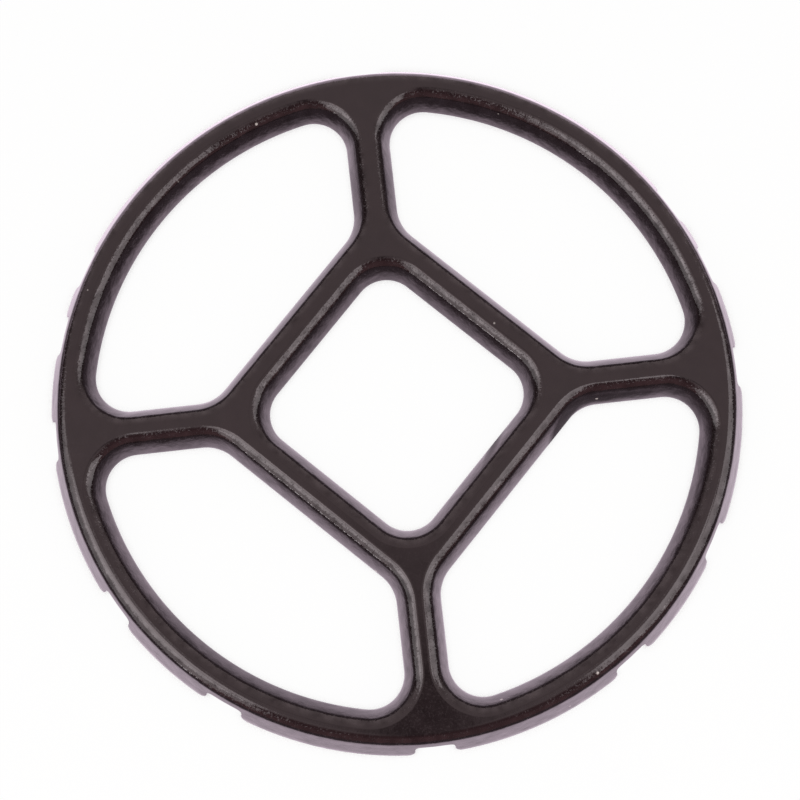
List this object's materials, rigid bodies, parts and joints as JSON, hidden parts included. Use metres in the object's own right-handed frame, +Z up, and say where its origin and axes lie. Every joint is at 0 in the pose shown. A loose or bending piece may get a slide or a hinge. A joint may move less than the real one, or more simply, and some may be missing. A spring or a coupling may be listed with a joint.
{
  "type": "wok ring",
  "caption": "Flat round support ring pressed from enamelled sheet steel, with spokes to a square middle frame and a notched skirt that keys over pan-support arms.",
  "frame": {"origin": "middle of the ring, on the plane of the lugs' lowest edges", "axes": "+Z up through the ring, +X and +Y along two spokes; the notches mirror about the YZ plane"},
  "size_m": [0.1398, 0.1398, 0.0073],
  "materials": {
    "enamel": "gloss black vitreous enamel on pressed steel"
  },
  "bodies": {
    "root": {"wok_ring": "enamel"}
  },
  "joints": []
}
